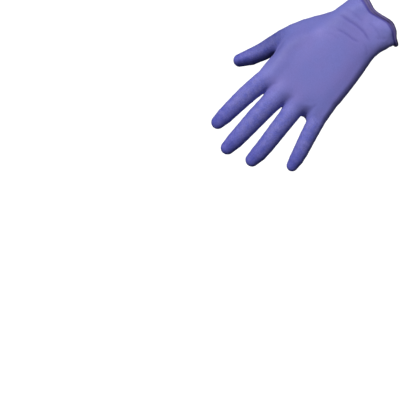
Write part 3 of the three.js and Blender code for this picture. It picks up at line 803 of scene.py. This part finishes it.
def nitrile():
    m = Nodes("nitrile")
    place = m.new("ShaderNodeTexCoord").outputs["Object"]
    stall, end, band, crease_shade, inside = (m.told(k) for k in ("stall", "end", "band", "crease_shade", "inside"))
    cleft, rolled, cuff_painted_light, band_crease_shade = (m.told(k) for k in ("cleft", "rolled", "cuff_painted_light", "band_crease_shade"))
    edge, bead = m.told("edge"), m.told("bead")
    broad = m.noise(place, 38, 2)
    patch = m.noise(place, 150, 3, 0.6)
    grain = m.noise(place, 620, 2, 0.6)
    # the back: even, a little pinker in places
    colour = m.mix(m.span(broad, 0.35, 0.65, 0, 1), (0.170, 0.174, 0.500), (0.186, 0.172, 0.490))
    # the fingers: bluer and deeper, mottled where the film is stretched
    fingers = m.mix(m.span(patch, 0.36, 0.64, 0, 1), (0.108, 0.116, 0.430), (0.152, 0.150, 0.440))
    colour = m.mix(stall, colour, fingers)
    ends = m.mix(m.span(patch, 0.36, 0.64, 0, 1), (0.066, 0.072, 0.350), (0.108, 0.108, 0.420))
    colour = m.mix(m.math("MULTIPLY", end, 0.85), colour, ends)
    speck = m.span(grain, 0.3, 0.7, 0.84, 1.16)
    fine = m.mix(m.math("ADD", 0.25, m.math("MULTIPLY", stall, 0.75)), (1, 1, 1), speck)
    colour = m.mix(1.0, colour, fine, "MULTIPLY")
    # the bead and its band: the film is doubled, paler and pinker
    colour = m.mix(m.math("MULTIPLY", band, 0.85), colour, (0.112, 0.086, 0.215))
    # the cuff: painted light, paler most on the little finger's side, where its shade falls
    colour = m.mix(cuff_painted_light, colour, m.mix(1.0, colour, (1.36, 1.34, 1.26), "MULTIPLY"))
    # the thumb: painted shade
    colour = m.mix(rolled, colour, m.mix(1.0, colour, (0.60, 0.62, 0.67), "MULTIPLY"))
    # the palm's up-facing edge on the thumb's side: painted shade
    colour = m.mix(edge, colour, m.mix(1.0, colour, (0.78, 0.82, 0.84), "MULTIPLY"))
    # creases: painted shade, the film drawn darker in them
    colour = m.mix(m.math("MULTIPLY", crease_shade, 0.55), colour, (0.085, 0.075, 0.330))
    # the crease behind the bead: painted shade
    colour = m.mix(m.math("MULTIPLY", band_crease_shade, 0.75), colour, (0.046, 0.036, 0.270))
    # the roll's outer half: painted shade
    colour = m.mix(m.math("MULTIPLY", bead, 0.8), colour, (0.026, 0.018, 0.045))
    # the cleft by the thumb: painted shade
    colour = m.mix(m.math("MULTIPLY", cleft, 0.30), colour, (0.060, 0.060, 0.250))
    # inside: the chlorinated face, a little duller
    colour = m.mix(m.math("MULTIPLY", inside, 0.6), colour, (0.165, 0.160, 0.400))
    bsdf = m.new("ShaderNodeBsdfPrincipled")
    m.put(colour, bsdf.inputs["Base Color"])
    rough = m.math("ADD", m.span(patch, 0.3, 0.7, 0.50, 0.60), m.math("MULTIPLY", stall, 0.06))
    m.put(rough, bsdf.inputs["Roughness"])
    bsdf.inputs["Specular IOR Level"].default_value = 0.20
    # grip on the fingers, and the faint texture of a dipped film elsewhere
    pebble = m.new("ShaderNodeTexVoronoi", feature="SMOOTH_F1")
    m.put(place, pebble.inputs["Vector"])
    pebble.inputs["Scale"].default_value = 900
    pebble.inputs["Smoothness"].default_value = 0.6
    height = m.math("MULTIPLY", m.math("SUBTRACT", 1.0, pebble.outputs["Distance"]), m.math("ADD", 0.15, m.math("MULTIPLY", stall, 0.85)))
    height = m.math("ADD", m.math("MULTIPLY", height, 0.5), m.math("MULTIPLY", grain, 0.8))
    bump = m.new("ShaderNodeBump")
    m.put(height, bump.inputs["Height"])
    bump.inputs["Strength"].default_value = 0.55
    bump.inputs["Distance"].default_value = 0.00016
    m.put(bump.outputs[0], bsdf.inputs["Normal"])
    out = m.new("ShaderNodeOutputMaterial")
    m.put(bsdf.outputs[0], out.inputs[0])
    return m.mat


glove.data.materials.append(nitrile())

# ---- stage, light, camera ------------------------------------------------------------------
# Row frame on the photo: right and up of the picture, at 1.15 mm to a pixel.
RIGHT = Vector((-0.659, -0.752, 0)).normalized()
UP = Vector((0.752, -0.659, 0)).normalized()
BACK = RIGHT.cross(UP)  # out of the picture, to the camera
FLOOR_Z = -3.0
scene = bpy.context.scene
scene.view_settings.view_transform = "Standard"


def stage_paint():
    m = Nodes("floor_paint")
    bsdf = m.new("ShaderNodeBsdfPrincipled")
    bsdf.inputs["Base Color"].default_value = (0.90, 0.90, 0.90, 1)
    bsdf.inputs["Roughness"].default_value = 0.95
    bsdf.inputs["Specular IOR Level"].default_value = 0.0
    bsdf.inputs["Emission Color"].default_value = (1, 1, 1, 1)
    bsdf.inputs["Emission Strength"].default_value = 0.24
    out = m.new("ShaderNodeOutputMaterial")
    m.put(bsdf.outputs[0], out.inputs[0])
    return m.mat


s = 60.0
floor_mesh = bpy.data.meshes.new("floor")
floor_mesh.from_pydata([(-s, -s, FLOOR_Z), (s, -s, FLOOR_Z), (s, s, FLOOR_Z), (-s, s, FLOOR_Z)], [], [(0, 1, 2, 3)])
floor = bpy.data.objects.new("floor", floor_mesh)
scene.collection.objects.link(floor)
floor.data.materials.append(stage_paint())
# the floor throws no light back up, so that the undersides stay dark
floor.visible_diffuse = False
floor.visible_glossy = False

# A soft room: brighter on the side that the key is on, and plain to the camera.
world = bpy.data.worlds.new("room")
world.use_nodes = True
tree = world.node_tree
tree.nodes.clear()
towards = (-RIGHT * 0.64 + UP * 0.68 + BACK * 1.08).normalized()
coord = tree.nodes.new("ShaderNodeTexCoord")
side = tree.nodes.new("ShaderNodeVectorMath")
side.operation = "DOT_PRODUCT"
tree.links.new(coord.outputs["Generated"], side.inputs[0])
side.inputs[1].default_value = towards
ramp = tree.nodes.new("ShaderNodeMapRange")
tree.links.new(side.outputs["Value"], ramp.inputs[0])
for i, v in enumerate((-0.25, 0.95, 0.026, 0.46)):
    ramp.inputs[i + 1].default_value = v
light_bg = tree.nodes.new("ShaderNodeBackground")
light_bg.inputs[0].default_value = (0.90, 0.93, 1.0, 1)
tree.links.new(ramp.outputs[0], light_bg.inputs[1])
seen_bg = tree.nodes.new("ShaderNodeBackground")
seen_bg.inputs[0].default_value = (1, 1, 1, 1)
seen_bg.inputs[1].default_value = 1.0
path = tree.nodes.new("ShaderNodeLightPath")
both = tree.nodes.new("ShaderNodeMixShader")
tree.links.new(path.outputs["Is Camera Ray"], both.inputs[0])
tree.links.new(light_bg.outputs[0], both.inputs[1])
tree.links.new(seen_bg.outputs[0], both.inputs[2])
end = tree.nodes.new("ShaderNodeOutputWorld")
tree.links.new(both.outputs[0], end.inputs[0])
scene.world = world

SCALE, PX_W, PX_H = 1.15e-3, 407, 420
ORIGIN_PX = (379.0, 18.0)  # where the mouth's centre is
centre = RIGHT * (PX_W / 2 - ORIGIN_PX[0]) * SCALE - UP * (PX_H / 2 - ORIGIN_PX[1]) * SCALE
DISTANCE = 2.2
cam = bpy.data.cameras.new("camera")
cam.sensor_width = 36.0
cam.sensor_fit = "AUTO"
cam.lens = 36.0 * DISTANCE / (PX_H * SCALE)
camera = bpy.data.objects.new("camera", cam)
scene.collection.objects.link(camera)
camera.matrix_world = Matrix((
    (RIGHT.x, UP.x, BACK.x, 0), (RIGHT.y, UP.y, BACK.y, 0), (RIGHT.z, UP.z, BACK.z, 0), (0, 0, 0, 1),
))
camera.location = centre + BACK * DISTANCE
scene.camera = camera

# The key comes from the upper left of the picture, as broad as an overcast window.
key = bpy.data.lights.new("key", "SUN")
key.energy = 2.84
key.angle = math.radians(20)
key.color = (1.0, 0.99, 0.97)
key_object = bpy.data.objects.new("key", key)
key_object.rotation_euler = towards.to_track_quat("Z", "Y").to_euler()
key_object.location = towards * 2
scene.collection.objects.link(key_object)

# A weak fill at the mouth's side, so that the inside of the cuff shows.
fill = bpy.data.lights.new("fill", "SUN")
fill.energy = 0.9
fill.angle = math.radians(60)
fill.color = (0.94, 0.96, 1.0)
fill_object = bpy.data.objects.new("fill", fill)
mouth_side = Vector((0.10, -1.0, 0.06)).normalized()
fill_object.rotation_euler = mouth_side.to_track_quat("Z", "Y").to_euler()
fill_object.location = mouth_side * 2
scene.collection.objects.link(fill_object)
